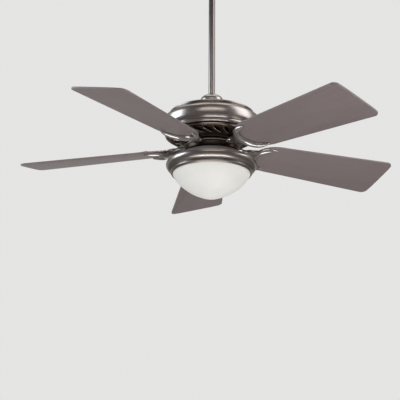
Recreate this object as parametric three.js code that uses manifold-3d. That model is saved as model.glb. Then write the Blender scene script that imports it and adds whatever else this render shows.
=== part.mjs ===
// Five-blade ceiling fan with an opal glass bowl light, hung on a downrod.
// Millimetres, +Z up. The origin is the centre of the top face of the ceiling
// bracket, so the fan hangs down from z = 0.
// Every piece under the ceiling is drawn from the blade plane: z = 0 of the
// "hang" group is where the blade undersides meet the fan's axis.
import * as THREE from 'three';
import { mergeVertices } from 'three/addons/utils/BufferGeometryUtils.js';
import Module from 'manifold-3d';

const wasm = await Module();
wasm.setup();

// ---------------------------------------------------------------- dimensions
const DROP = 616;             // ceiling to blade plane, on the axis
const GAP = 0.3;              // between touching pieces
const BLADES = 5;
const PHASE = 5.17;           // first blade, degrees ahead of +Y
const PITCH = 13.4;           // blade pitch, counter-clockwise edge low
const DROOP = 1.6;            // blades fall away outwards by this many degrees

const TIP_U = 555;            // radius of the blade tip line
const ROOT_U = 131;           // radius of the rounded blade root
const HALF_CHORD_350 = 74.9;  // half of the blade width at radius 350
const CHORD_SLOPE = 0.0612;   // half width gained per mm of radius
const TIP_R = 17;             // tip corner radius
const BLADE_T = 5;            // blade thickness

const ROD_R = 9.525;          // 3/4 inch downrod
const ROD_LEN = 457;          // 18 inch downrod
const ROD_WALL = 1.8;
const BALL_R = 30;            // hanger ball
const BALL_Z = -41.2;         // ball centre below the ceiling
const SOCKET_R = 22;          // hole the ball sits in
const ROD_TOP = BALL_Z + 20 + DROP;        // in blade-plane coordinates
const ROD_BOT = ROD_TOP - ROD_LEN;

const HOUSING_R = 143.5;      // widest radius of the motor housing
const LIP_R = 123.5;          // top lip of the motor housing
const PAN_R = 130;            // widest radius of the light pan
const GLASS_R = 110.4;        // glass bowl at its rim
const GLASS_Z = -148;         // lowest point of the glass
const GLASS_T = 3;
const VENTS = 24;             // swirl slots in the lower housing

// -------------------------------------------------------------------- helpers
const V2 = (a) => a.map(([x, y]) => new THREE.Vector2(x, y));
const rad = (d) => d * Math.PI / 180;
const bare = (g) => { g.deleteAttribute('normal'); g.deleteAttribute('uv'); return mergeVertices(g.toNonIndexed ? g : g, 1e-4); };

// a closed geometry as a solid
function solid(g) {
  const c = g.clone();
  c.clearGroups();
  const m = bare(c);
  const s = new wasm.Manifold(new wasm.Mesh({
    numProp: 3,
    vertProperties: new Float32Array(m.attributes.position.array),
    triVerts: new Uint32Array(m.index.array),
  }));
  return s;
}
function geo(s) {
  const m = s.getMesh();
  const g = new THREE.BufferGeometry();
  const n = m.numProp;
  const p = new Float32Array(m.vertProperties.length / n * 3);
  for (let i = 0; i < p.length / 3; i++) for (let k = 0; k < 3; k++) p[3 * i + k] = m.vertProperties[n * i + k];
  g.setAttribute('position', new THREE.BufferAttribute(p, 3));
  g.setIndex(new THREE.BufferAttribute(new Uint32Array(m.triVerts), 1));
  g.computeVertexNormals();
  return g;
}
// lathe about Z: profile of [radius, z], counter-clockwise when closed on itself
function lathe(profile, seg = 32) {
  let p = profile.slice();
  const onAxis = p[0][0] < 1e-9 && p[p.length - 1][0] < 1e-9;
  // orientation: LatheGeometry faces out when the outside is walked upwards
  let area = 0;
  const q = onAxis ? p : p.concat([p[0]]);
  for (let i = 0; i < q.length - 1; i++) area += q[i][0] * q[i + 1][1] - q[i + 1][0] * q[i][1];
  if (onAxis) area += q[q.length - 1][0] * q[0][1] - q[0][0] * q[q.length - 1][1];
  if (area < 0) p = p.reverse();
  if (!onAxis) p = p.concat([p[0]]);
  const g = new THREE.LatheGeometry(V2(p), seg);
  g.rotateX(Math.PI / 2);
  return g;
}
function latheSolid(profile, seg) {
  const s = solid(lathe(profile, seg));
  return s;
}
const ring = (r0, r1, z0, z1, seg = 24) => lathe([[r0, z0], [r1, z0], [r1, z1], [r0, z1]], seg);
const rod = (r, z0, z1, seg = 16) => lathe([[0, z0], [r, z0], [r, z1], [0, z1]], seg);
const box = (x0, x1, y0, y1, z0, z1) => {
  const g = new THREE.BoxGeometry(x1 - x0, y1 - y0, z1 - z0);
  g.translate((x0 + x1) / 2, (y0 + y1) / 2, (z0 + z1) / 2);
  return g;
};
// plan outline [x, y] raised from z0 to z1
function plate(outline, z0, z1, bevel = 0, seg = 1) {
  const s = new THREE.Shape(V2(outline));
  const g = new THREE.ExtrudeGeometry(s, {
    depth: z1 - z0 - 2 * bevel, steps: 1, curveSegments: 1,
    bevelEnabled: bevel > 0, bevelThickness: bevel, bevelSize: bevel, bevelOffset: -bevel, bevelSegments: seg,
  });
  g.translate(0, 0, z0 + bevel);
  return g;
}
// side outline [x, z] drawn from y0 to y1
function slab(outline, y0, y1) {
  const g = plate(outline, 0, y1 - y0);
  g.rotateX(Math.PI / 2);
  g.translate(0, y1, 0);
  return g;
}
const shift = (g, x, y, z) => { g.translate(x, y, z); return g; };
const add = (...gs) => gs.reduce((a, b) => (a ? a.add(b) : b), null);

const root = new THREE.Group();
const hang = new THREE.Group();
hang.position.z = -DROP;
root.add(hang);

function node(parent, name, geometry, color, roughness, metalness, extra = {}) {
  const g = geometry.isBufferGeometry ? geometry : geo(geometry);
  const m = new THREE.Mesh(g, new THREE.MeshStandardMaterial({ color, roughness, metalness, ...extra }));
  m.name = name;
  parent.add(m);
  return m;
}
const STEEL = 0x9b918c, DARK = 0x6d625b, BRONZE = 0x43362d, BLADE = 0x7d7371, GALV = 0xa9abab, BLACK = 0x1b1a1a, BRASS = 0xb08d4f, OPAL = 0xe6e4da;

// ------------------------------------------------------------ ceiling bracket
// A steel strap bent to a cage: top plate, two straps and the plate whose
// open-sided hole holds the hanger ball. Two ears take the canopy screws.
{
  let s = add(
    solid(box(-62, 62, -22, 22, -3, 0)),
    solid(box(-41, -38, -22, 22, -64.5, -1)),
    solid(box(38, 41, -22, 22, -64.5, -1)),
    solid(box(-41, 41, -24, 24, -64.5, -62)),
    solid(box(-28, -26.3, -1.5, 1.5, -63, -50)),   // tab that keeps the ball from turning
    solid(box(-62, -59, -11, 11, -17, -1)),
    solid(box(59, 62, -11, 11, -17, -1)),
  );
  const cut = [
    solid(shift(rod(SOCKET_R, -70, -55, 28), 0, 0, 0)),
    solid(box(-10.8, 10.8, 0, 40, -70, -55)),
  ];
  for (const x of [-1, 1]) {
    const h = rod(2.4, -80, 80, 12); h.rotateY(Math.PI / 2); h.translate(0, 0, -10);
    if (x > 0) cut.push(solid(h));
    const f = rod(3, -10, 10, 12); f.translate(x * 44, x * 12, 0); cut.push(solid(f));
  }
  for (const c of cut) s = s.subtract(c);
  node(root, 'ceiling_bracket', s, GALV, 0.5, 0.9);
}

// ------------------------------------------------------------------- canopy
{
  let s = latheSolid([
    [66.4, -0.6], [68, -0.6], [68, -22], [66, -39], [59.6, -57], [47, -72.4], [28, -81.6], [24.4, -81.6],
    [24.6, -80], [27.6, -80], [45.8, -71.2], [58.2, -56.2], [64.4, -38.6], [66.4, -22]], 24);
  const h = rod(2.4, -80, 80, 12); h.rotateY(Math.PI / 2); h.translate(0, 0, -10);
  s = s.subtract(solid(h));
  node(root, 'canopy', s, STEEL, 0.35, 1);
}
for (const [i, sx] of [[1, 1], [2, -1]]) {
  const g = lathe([[0, 55], [2.05, 55], [2.05, 68.4], [5, 68.4], [5, 69.6], [3.4, 71], [0, 71.4]], 10);
  g.rotateY(sx * Math.PI / 2);
  g.translate(0, 0, -10);
  node(root, `canopy_screw_${i}`, g, STEEL, 0.35, 1);
}

// -------------------------------------------------------- hanger ball and rod
const BZ = BALL_Z + DROP;
{
  const arc = [];
  for (let i = 0; i <= 7; i++) {
    const t = rad(-70.5 + i * (141 / 7));
    arc.push([BALL_R * Math.cos(t), BZ + BALL_R * Math.sin(t)]);
  }
  let s = latheSolid([...arc, [ROD_R + 0.35, BZ + BALL_R * Math.sin(rad(70.5))], [ROD_R + 0.35, BZ - BALL_R * Math.sin(rad(70.5))]], 20);
  const pin = rod(3.4, -40, 40, 12); pin.rotateX(Math.PI / 2); pin.translate(0, 0, BZ + 10);
  s = s.subtract(solid(pin));
  // the groove that the bracket's tab drops into, so the ball can't turn
  s = s.subtract(solid(box(-34, -25.5, -7, 7, BZ - 24, BZ + 4)));
  node(hang, 'hanger_ball', s, BLACK, 0.55, 0);
  const p = rod(3.0, -24, 24, 12); p.rotateX(Math.PI / 2); p.translate(0, 0, BZ + 10);
  node(hang, 'hanger_pin', p, GALV, 0.4, 1);
}
{
  let s = latheSolid([[ROD_R - ROD_WALL, ROD_BOT], [ROD_R, ROD_BOT], [ROD_R, ROD_TOP], [ROD_R - ROD_WALL, ROD_TOP]], 24);
  const a = rod(3.4, -20, 20, 12); a.rotateX(Math.PI / 2); a.translate(0, 0, BZ + 10);
  const b = rod(3.4, -20, 20, 12); b.rotateY(Math.PI / 2); b.translate(0, 0, ROD_BOT + 12);
  s = s.subtract(solid(a)).subtract(solid(b));
  node(hang, 'downrod', s, STEEL, 0.3, 1);
}

// ------------------------------------------------- coupling, its pin, its cover
const SHAFT_TOP = ROD_BOT - 0.6;
{
  let s = latheSolid([[ROD_R + 0.35, 118], [16, 118], [16, 128], [19, 131], [19, 160], [ROD_R + 0.35, 160]], 24);
  const b = rod(3.4, -30, 30, 12); b.rotateY(Math.PI / 2); b.translate(0, 0, ROD_BOT + 12);
  const t = rod(2.4, 0, 30, 10); t.rotateX(Math.PI / 2); t.translate(0, 0, 155);
  s = s.subtract(solid(b)).subtract(solid(t));
  node(hang, 'motor_coupling', s, GALV, 0.45, 0.9);
  const p = rod(3.0, -20.5, 20.5, 12); p.rotateY(Math.PI / 2); p.translate(0, 0, ROD_BOT + 12);
  node(hang, 'coupling_pin', p, GALV, 0.4, 1);
  const q = lathe([[0, ROD_R + 0.35], [2.05, ROD_R + 0.35], [2.05, 19.4], [3.8, 19.4], [3.8, 21.4], [0, 21.9]], 10);
  q.rotateX(Math.PI / 2); q.translate(0, 0, 155);
  node(hang, 'coupling_set_screw', q, GALV, 0.4, 1);
  node(hang, 'coupling_cover', lathe([
    [31.6, 142.4], [33.4, 142.4], [33.2, 147.5], [30.4, 155], [24.6, 162], [17, 167], [ROD_R + 0.7, 169],
    [ROD_R + 0.7, 167.5], [16.4, 165.6], [23.6, 160.9], [29, 154.2], [31.6, 147.4]], 24), STEEL, 0.3, 1);
}

// ---------------------------------------------------------------- motor housing
{
  const outer = [
    [24, 142], [35.4, 142], [37, 140.4], [60, 130.8], [85, 120.4], [110, 110], [118, 107], [LIP_R, 105], [122.8, 100.8], [120.6, 98.2],
    [125, 95.6], [134, 91], [141, 84.4], [HOUSING_R, 75], [142, 61.5], [138.2, 50.4],
    [133.4, 43.6], [132.8, 39.4], [125.6, 38.2]];
  const inner = [
    [125.6, 40.2], [130.8, 41], [131.6, 44.6], [136.2, 51.4], [140, 62], [141.4, 75], [139.2, 83.2], [132.4, 89.2],
    [118.4, 96], [118.4, 101], [116.2, 105.4], [109.2, 108.2], [84.2, 118.6], [59.2, 129], [35, 139.2], [24, 140]];
  node(hang, 'motor_housing', lathe([...outer, ...inner], 32), STEEL, 0.3, 1);
}
// lower housing: rolled lip, then a shallow cone pierced by swirl slots
{
  let s = latheSolid([
    [122.6, 42.8], [129, 42.8], [129, 44.8], [119.4, 44.8], [117.6, 37.4], [77, 16.8], [76.2, 14], [78.6, 13.4],
    [115.8, 33.2], [117, 31.8], [120.2, 31.6], [122, 33.4]], 40);
  // one slot, following a spiral from the rim towards the middle
  const path = [];
  for (let i = 0; i <= 3; i++) { const t = i / 3; path.push([111 - 20.6 * t, -10.9 + 11 * t + 2 * t * t]); }
  const half = (t) => 3.1 + 1.2 * Math.sin(Math.PI * Math.min(1, t * 1.1)) * (1 - 0.45 * t);
  const L = [], R = [];
  path.forEach(([r, a], i) => {
    const t = i / 3, da = half(t) / r * 180 / Math.PI;
    L.push([r * Math.cos(rad(a - da)), r * Math.sin(rad(a - da))]);
    R.unshift([r * Math.cos(rad(a + da)), r * Math.sin(rad(a + da))]);
  });
  const slot = solid(plate([...L, ...R], 0, 60));
  for (let i = 0; i < VENTS; i++) s = s.subtract(slot.rotate([0, 0, i * 360 / VENTS]));
  node(hang, 'vented_lower_housing', s, BRONZE, 0.4, 1);
}

// ------------------------------------------------------------------ the motor
node(hang, 'motor_shaft', ring(6.2, 9.4, -33, SHAFT_TOP, 20), GALV, 0.4, 1);
node(hang, 'stator', ring(9.8, 52, 62, 92, 28), DARK, 0.6, 0.6);
node(hang, 'upper_bearing', ring(9.8, 17.4, 99, 107, 20), GALV, 0.3, 1);
node(hang, 'lower_bearing', ring(9.8, 17.4, 45, 53, 20), GALV, 0.3, 1);
const spin = new THREE.Group();
hang.add(spin);
node(spin, 'rotor', lathe([
  [17.8, 53.5], [22, 53.5], [22, 47.5], [62, 47.5], [62, 101.5], [17.8, 101.5], [17.8, 107.5],
  [24, 107.5], [24, 105], [60, 105], [66, 99], [66, 50], [60, 43.5], [20, 43.5], [20, 11.8], [25, 11.8], [25, 10.5], [16, 10.5], [16, 43], [17.8, 44.8]], 24), GALV, 0.45, 0.9);
node(spin, 'flywheel', lathe([[24, 4.6], [74, 4.6], [74, 10.2], [24, 10.2]], 30), BLACK, 0.7, 0);

// --------------------------------------------------------------- blade outline
const halfChord = (u) => HALF_CHORD_350 + CHORD_SLOPE * (u - 350);
const NECK_U = 212;           // where the rounded root meets the straight edges
function bladeOutline() {
  const right = [];           // -v side from the root to the tip
  const hv = halfChord(NECK_U);
  const n = 2.35;
  for (let i = 0; i <= 7; i++) {
    const t = i / 7 * Math.PI / 2;
    right.push([NECK_U - (NECK_U - ROOT_U) * Math.pow(Math.cos(t), 2 / n), -hv * Math.pow(Math.sin(t), 2 / n)]);
  }
  const ht = halfChord(TIP_U - TIP_R);
  for (let i = 0; i <= 4; i++) {
    const t = rad(-90 + 86 * i / 4);
    right.push([TIP_U - TIP_R + TIP_R * Math.cos(t), -(ht - TIP_R) + TIP_R * Math.sin(t)]);
  }
  right.push([TIP_U + 1.1, -35]);
  const left = right.slice(1).reverse().map(([u, v]) => [u, -v]);
  return [...right, [TIP_U + 1.5, 0], ...left];
}
const SCREWS = [[150, 0], [188, -26], [188, 26]];  // blade screws, in plan
const BOLT_A = 25;            // arm bolt, degrees round from the arm's centreline

// ------------------------------------------------------------------ blade arm
// One casting: a foot that is a fifth of a ring under the flywheel, a neck, a
// crescent that cradles the rounded blade root from below, and a shield-shaped
// pad on top of the blade that takes the screws.
const crescent = [];
{
  const N = 6;
  const C = (s, au, av, cu, n) => {
    const t = s * Math.PI / 2, c = Math.abs(Math.cos(t)), q = Math.abs(Math.sin(t));
    return [cu - au * Math.pow(c, 2 / n), Math.sign(s) * av * Math.pow(q, 2 / n)];
  };
  for (let i = -N; i <= N; i++) crescent.push(C(i / N, 63, 57, 187, 2.25));
  for (let i = N - 1; i > -N; i--) crescent.push(C(i / N, 45, 45.5, 187, 2.1).map((v, k) => (k ? v * (0.999) : v)));
}
const pad = [];
{
  // shield: narrow at the neck, broad over the screws, with a scalloped end
  const half = [[96, 13], [122, 20], [138, 25], [156, 27], [172, 31], [186, 37], [197, 37], [204, 28], [200, 16]];
  half.forEach(([u, v]) => pad.push([u, -v]));
  pad.push([192, 0]);
  half.slice().reverse().forEach(([u, v]) => pad.push([u, v]));
}
const tilt = new THREE.Matrix4().makeRotationFromEuler(new THREE.Euler(rad(-PITCH), 0, 0))
  .premultiply(new THREE.Matrix4().makeRotationFromEuler(new THREE.Euler(0, rad(DROOP), 0)));
const tilted = (g) => { g.applyMatrix4(tilt); return g; };

function armSolid() {
  // foot: L-shaped section, a fifth of a turn
  let foot = latheSolid([[54, 0], [54, 4.2], [77.4, 4.2], [79, 5.6], [80, 4.2], [78.4, 2], [78.4, -10.4], [75.6, -10.4], [75.6, 0]], 40);
  const w = 35.7, wedge = [[0, 0]];
  for (let i = -1; i <= 1; i++) wedge.push([120 * Math.cos(rad(w * i)), 120 * Math.sin(rad(w * i))]);
  foot = foot.intersect(solid(plate(wedge, -30, 30)));
  // neck: plan outline cut by its side outline
  const plan = [[57, -17], [70, -19], [88, -12.5], [102, -15], [118, -28], [134, -44], [134, 44], [118, 28], [102, 15], [88, 12.5], [70, 19], [57, 17]];
  const side = [[57, 1], [76, -6], [104, -6], [128, -12.5], [140, -12.5], [140, 18], [114, 15.5], [102, 17.5], [88, 12.5], [74.6, 4.2], [57, 4.2]];
  let neck = solid(plate(plan, -40, 40)).intersect(solid(slab(side, -60, 60)));
  // the neck's palm follows the pitched blade plane outside radius 104
  const band = solid(tilted(plate([[98, -70], [129.6, -70], [129.6, 70], [98, 70]], -8.6, 9.2)));
  const inner = solid(box(40, 106, -60, 60, -40, 40));
  neck = neck.intersect(inner.add(band));
  const cres = solid(tilted(plate(crescent, -9.6, -GAP)));
  const top = solid(tilted(plate(pad, BLADE_T + GAP, BLADE_T + GAP + 4, 0)));
  let s = add(foot, neck, cres, top);
  for (const [u, v] of SCREWS) s = s.subtract(solid(tilted(shift(rod(2.5, 2, 20, 8), u, v, 0))));
  // bolt hole through the foot into the flywheel
  s = s.subtract(solid(shift(rod(2.5, -20, 20, 8), 64 * Math.cos(rad(BOLT_A)), 64 * Math.sin(rad(BOLT_A)), 0)));
  return s;
}
const arm = geo(armSolid());
const bladeGeo = (() => {
  let s = solid(plate(bladeOutline(), 0, BLADE_T));
  for (const [u, v] of SCREWS) s = s.subtract(solid(shift(rod(2.5, 1.4, 20, 8), u, v, 0)));
  return geo(s);
})();
const screwGeo = lathe([[0, 1.8], [2.0, 1.8], [2.0, BLADE_T + 4 + 2 * GAP], [5.2, BLADE_T + 4 + 2 * GAP], [4.4, BLADE_T + 6.6], [0, BLADE_T + 7.6]], 8);
const boltGeo = lathe([[0, -3.6], [4.2, -2.8], [5, -0.3], [2.0, -0.3], [2.0, 3.9], [0, 3.9]], 8);

for (let i = 0; i < BLADES; i++) {
  const g = new THREE.Group();
  g.rotation.z = rad(90 + PHASE + i * 360 / BLADES);
  spin.add(g);
  const k = i + 1;
  node(g, `blade_arm_${k}`, arm.clone(), STEEL, 0.32, 1);
  const flat = new THREE.Group();
  flat.applyMatrix4(tilt);
  g.add(flat);
  node(flat, `blade_${k}`, bladeGeo.clone(), BLADE, 0.5, 0.1);
  SCREWS.forEach(([u, v], j) => {
    const m = node(flat, `blade_screw_${k}_${j + 1}`, screwGeo.clone(), STEEL, 0.3, 1);
    m.position.set(u, v, 0);
  });
  const b = node(g, `arm_bolt_${k}`, boltGeo.clone(), STEEL, 0.3, 1);
  b.position.set(64 * Math.cos(rad(BOLT_A)), 64 * Math.sin(rad(BOLT_A)), 0);
}

// ------------------------------------------------------------------- light kit
const across = () => { const h = rod(2.3, -60, 60, 10); h.rotateX(Math.PI / 2); h.translate(0, 0, -21.5); return solid(h); };
node(hang, 'light_kit_plate', latheSolid([[9.8, -15], [42.8, -15], [42.8, -26], [41, -26], [41, -17.2], [9.8, -17.2]], 28).subtract(across()), GALV, 0.5, 0.9);
{
  const hex = [];
  for (let i = 0; i < 6; i++) hex.push([13 * Math.cos(rad(60 * i)), 13 * Math.sin(rad(60 * i))]);
  let s = solid(plate(hex, -22.6, -17.5)).subtract(solid(rod(9.75, -30, -10, 20)));
  node(hang, 'shaft_nut', s, BRASS, 0.4, 1);
}
{
  // strap that carries the two lamp holders
  let s = add(solid(box(-36, 36, -11, 11, -25, -22.9)), solid(box(-36, -34, -11, 11, -62, -23.5)), solid(box(34, 36, -11, 11, -62, -23.5)))
    .subtract(solid(rod(9.75, -30, -10, 20)));
  const h = rod(4, -40, 40, 12); h.rotateY(Math.PI / 2); h.translate(0, 0, -48);
  s = s.subtract(solid(h));
  node(hang, 'lamp_holder_strap', s, GALV, 0.5, 0.9);
}
for (const [i, sx] of [[1, 1], [2, -1]]) {
  // lamp holder: a closed-back cup, axis along X
  const g = lathe([[0, 36.3], [10, 36.3], [16, 38.5], [16, 60], [14.2, 60], [14.2, 42], [0, 42]], 16);
  g.rotateY(sx * Math.PI / 2); g.translate(0, 0, -48);
  node(hang, `lamp_holder_${i}`, g, 0xe9e6df, 0.5, 0);
  const b = lathe([[0, 43.5], [8, 43.5], [12.8, 46], [12.8, 62.5], [20.5, 76], [23.4, 87], [19, 99.5], [0, 106.5]], 16);
  b.rotateY(sx * Math.PI / 2); b.translate(0, 0, -48);
  node(hang, `bulb_${i}`, b, 0xf6f3ea, 0.4, 0);
}
{
  let s = latheSolid([
    [43.4, -13.4], [72, -13.4], [82, -16.4], [101, -25.6], [124, -38.4], [PAN_R, -45.8], [128, -52.4],
    [122.8, -58.6], [114.6, -64.6], [117, -66.8], [116.6, -72], [111.2, -76],
    [111.2, -73.4], [114.4, -73.2], [114.4, -67], [112.4, -63], [121.2, -57.2], [126.2, -51.4], [127.8, -46],
    [122.8, -40], [100.2, -27.4], [81.4, -18.4], [71.8, -15.4], [45.4, -15.4], [45.4, -26], [43.4, -26]], 32);
  // three gaps in the lower ledge let the glass lugs through
  for (let i = 0; i < 3; i++) {
    const w = [[0, 0]];
    for (let j = -2; j <= 2; j++) w.push([114.2 * Math.cos(rad(i * 120 + 30 + 14 * j / 2)), 114.2 * Math.sin(rad(i * 120 + 30 + 14 * j / 2))]);
    s = s.subtract(solid(plate(w, -80, -71)));
  }
  s = s.subtract(across());
  node(hang, 'light_pan', s, STEEL, 0.3, 1);
}
for (let i = 0; i < 2; i++) {
  const g = lathe([[0, 38.5], [1.9, 38.5], [1.9, 45.7], [3.8, 45.7], [3.8, 47.4], [0, 48]], 10);
  g.rotateY(Math.PI / 2); g.translate(0, 0, -21.5); g.rotateZ(rad(90 + 180 * i));
  node(hang, `pan_screw_${i + 1}`, g, STEEL, 0.4, 1);
}

// ------------------------------------------------------------------ glass bowl
{
  const O = [[0, GLASS_Z], [14, -146.6], [33, -139.9], [58, -128.2], [80, -113], [98, -95.8], [107.4, -80.4], [GLASS_R, -72.6], [110.6, -66]];
  const I = [[107.6, -66], [107.4, -72.6], [104.4, -79.6], [95.6, -94], [78, -110.8], [56.4, -125.6], [32, -137], [13.4, -143.6], [0, GLASS_Z + GLASS_T]];
  let s = latheSolid([...O, ...I], 32);
  const lug = latheSolid([[109, -72.6], [113.6, -72.6], [113.6, -69.4], [109, -69.4]], 60);
  const lugs = [];
  for (let i = 0; i < 3; i++) {
    const w = [[0, 0]];
    for (let j = -2; j <= 2; j++) w.push([130 * Math.cos(rad(i * 120 + 10 * j / 2)), 130 * Math.sin(rad(i * 120 + 10 * j / 2))]);
    lugs.push(lug.intersect(solid(plate(w, -90, -60))));
  }
  for (const l of lugs) s = s.add(l);
  node(hang, 'glass_bowl', s, OPAL, 0.25, 0);
}

export default root;
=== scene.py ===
# Looks of the ceiling fan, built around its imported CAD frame. Metres, +Z up,
# z = 0 is the ceiling. Most pieces are drawn in millimetres from the blade
# plane, DROP below the ceiling.
import bpy
import bmesh
import math
from mathutils import Vector, Matrix


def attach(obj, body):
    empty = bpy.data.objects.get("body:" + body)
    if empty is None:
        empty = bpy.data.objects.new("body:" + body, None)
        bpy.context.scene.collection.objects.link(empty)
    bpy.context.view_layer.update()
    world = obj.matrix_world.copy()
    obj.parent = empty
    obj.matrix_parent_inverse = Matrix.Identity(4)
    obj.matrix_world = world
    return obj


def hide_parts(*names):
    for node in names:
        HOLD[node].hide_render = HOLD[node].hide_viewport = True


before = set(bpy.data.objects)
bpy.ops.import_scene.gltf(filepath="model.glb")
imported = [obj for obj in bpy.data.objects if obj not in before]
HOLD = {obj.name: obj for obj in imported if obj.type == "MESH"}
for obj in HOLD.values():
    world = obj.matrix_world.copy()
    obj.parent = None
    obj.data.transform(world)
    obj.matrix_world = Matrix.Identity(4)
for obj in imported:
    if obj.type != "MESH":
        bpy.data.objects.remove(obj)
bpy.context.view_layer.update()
scene = bpy.context.scene
rad = math.radians
DROP = 616.0
MM = 0.001

# ============================================================== mesh helpers


def rounded(pts, closed=False, n=5):
    """A polyline [(x, y, corner radius)] with its corners rounded."""
    out = []
    m = len(pts)
    for i, p in enumerate(pts):
        x, y = p[0], p[1]
        rr = p[2] if len(p) > 2 else 0
        if rr <= 0 or (not closed and i in (0, m - 1)):
            out.append((x, y))
            continue
        a, b = pts[i - 1], pts[(i + 1) % m]
        v1, v2 = Vector((a[0] - x, a[1] - y)), Vector((b[0] - x, b[1] - y))
        l1, l2 = v1.length, v2.length
        d1, d2 = v1.normalized(), v2.normalized()
        ang = math.acos(max(-1, min(1, d1.dot(d2))))
        if ang > math.pi - 0.03 or ang < 0.02:
            out.append((x, y))
            continue
        t = min(rr / math.tan(ang / 2), 0.48 * l1, 0.48 * l2)
        re = t * math.tan(ang / 2)
        p1, p2 = Vector((x, y)) + d1 * t, Vector((x, y)) + d2 * t
        c = Vector((x, y)) + (d1 + d2).normalized() * (re / math.sin(ang / 2))
        a1, a2 = math.atan2(p1.y - c.y, p1.x - c.x), math.atan2(p2.y - c.y, p2.x - c.x)
        da = (a2 - a1 + math.pi) % (2 * math.pi) - math.pi
        k = max(2, min(n, int(abs(da) / 0.25) + 1))
        for j in range(k + 1):
            s = a1 + da * j / k
            out.append((c.x + re * math.cos(s), c.y + re * math.sin(s)))
    return out


def spline(pts, n=5):
    """A smooth curve through the points."""
    P = [Vector(p) for p in pts]
    P = [P[0] * 2 - P[1]] + P + [P[-1] * 2 - P[-2]]
    out = []
    for i in range(1, len(P) - 2):
        for j in range(n):
            t = j / n
            q = 0.5 * (2 * P[i] + (P[i + 1] - P[i - 1]) * t
                       + (2 * P[i - 1] - 5 * P[i] + 4 * P[i + 1] - P[i + 2]) * t * t
                       + (3 * P[i] - P[i - 1] - 3 * P[i + 1] + P[i + 2]) * t ** 3)
            out.append(tuple(q))
    out.append(tuple(P[-2]))
    return out


def finish_mesh(bm, name, angle=38, merge=1e-6):
    bmesh.ops.remove_doubles(bm, verts=bm.verts, dist=merge)
    bmesh.ops.recalc_face_normals(bm, faces=bm.faces)
    for f in bm.faces:
        f.smooth = True
    me = bpy.data.meshes.new(name)
    bm.to_mesh(me)
    bm.free()
    me.set_sharp_from_angle(angle=rad(angle))
    return me


def link(me, name, matrix=None):
    o = bpy.data.objects.new(name, me)
    scene.collection.objects.link(o)
    if matrix is not None:
        o.matrix_world = matrix
    return o


def lathe_bm(bm, prof, seg=96, axis="Z", centre=(0, 0, 0), arc=None, closed=True, inner_from=None):
    """Adds a turned body. prof: [(radius, along the axis)] in mm."""
    full = arc is None
    a0, a1 = (0, 2 * math.pi) if full else arc
    count = seg if full else seg + 1
    rings = []

    def place(r, a, h):
        x, y, z = r * math.cos(a), r * math.sin(a), h
        if axis == "X":
            x, y, z = z, x, y
        elif axis == "Y":
            x, y, z = y, z, x
        return Vector((x + centre[0], y + centre[1], z + centre[2])) * MM

    for r, h in prof:
        if r < 1e-6 and full:
            rings.append([bm.verts.new(place(0, 0, h))])
        else:
            rings.append([bm.verts.new(place(r, a0 + (a1 - a0) * j / seg, h)) for j in range(count)])
    pairs = list(zip(rings[:-1], rings[1:]))
    if closed:
        pairs.append((rings[-1], rings[0]))
    for i, (A, B) in enumerate(pairs):
        if len(A) == 1 and len(B) == 1:
            continue
        for j in range(count if full else count - 1):
            k = (j + 1) % count
            if len(A) == 1:
                f = bm.faces.new((A[0], B[j], B[k]))
            elif len(B) == 1:
                f = bm.faces.new((A[j], B[0], A[k]))
            else:
                f = bm.faces.new((A[j], B[j], B[k], A[k]))
            if inner_from is not None and i >= inner_from:
                f.material_index = 1
    if not full:
        for j in (0, count - 1):
            loop = [g[j] for g in rings]
            bm.faces.new(loop if j == 0 else loop[::-1])
    return bm


def lathe(name, prof, seg=96, z=-DROP, angle=38, **kw):
    bm = bmesh.new()
    c = kw.pop("centre", (0, 0, 0))
    lathe_bm(bm, prof, seg, centre=(c[0], c[1], c[2] + z), **kw)
    return link(finish_mesh(bm, name, angle), name)


def offset_loop(loop, d):
    """Moves each point of a closed counter-clockwise loop inwards by d."""
    out = []
    m = len(loop)
    for i in range(m):
        a, p, b = Vector(loop[i - 1]), Vector(loop[i]), Vector(loop[(i + 1) % m])
        e1, e2 = (p - a), (b - p)
        if e1.length < 1e-9 or e2.length < 1e-9:
            out.append(tuple(p))
            continue
        n1, n2 = Vector((-e1.y, e1.x)).normalized(), Vector((-e2.y, e2.x)).normalized()
        n = n1 + n2
        n = n.normalized() if n.length > 1e-6 else n1
        out.append(tuple(p + n * d / max(0.4, n.dot(n1))))
    return out


def slab_bm(bm, outline, levels):
    """A plate from a counter-clockwise outline. levels: [(inset, height)] from bottom to top."""
    rings = []
    for d, h in levels:
        rings.append([bm.verts.new(Vector((x, y, h)) * MM) for x, y in offset_loop(outline, d)])
    for A, B in zip(rings[:-1], rings[1:]):
        for j in range(len(A)):
            k = (j + 1) % len(A)
            bm.faces.new((A[j], A[k], B[k], B[j]))
    bm.faces.new(rings[0][::-1])
    bm.faces.new(rings[-1])
    return bm


def boolean_cut(obj, cutters):
    for c in cutters:
        m = obj.modifiers.new("cut", "BOOLEAN")
        m.operation = "DIFFERENCE"
        m.solver = "EXACT"
        m.object = c
    dg = bpy.context.evaluated_depsgraph_get()
    me = bpy.data.meshes.new_from_object(obj.evaluated_get(dg))
    obj.modifiers.clear()
    old = obj.data
    obj.data = me
    me.name = old.name
    for c in cutters:
        bpy.data.objects.remove(c)
    me.set_sharp_from_angle(angle=rad(38))
    return obj


def cyl(r, a, b, axis, centre, z=-DROP, seg=24):
    return lathe("cutter", [(0, a), (r, a), (r, b), (0, b)], seg, z=z, axis=axis, centre=centre, closed=False)


# ================================================================= materials


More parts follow.
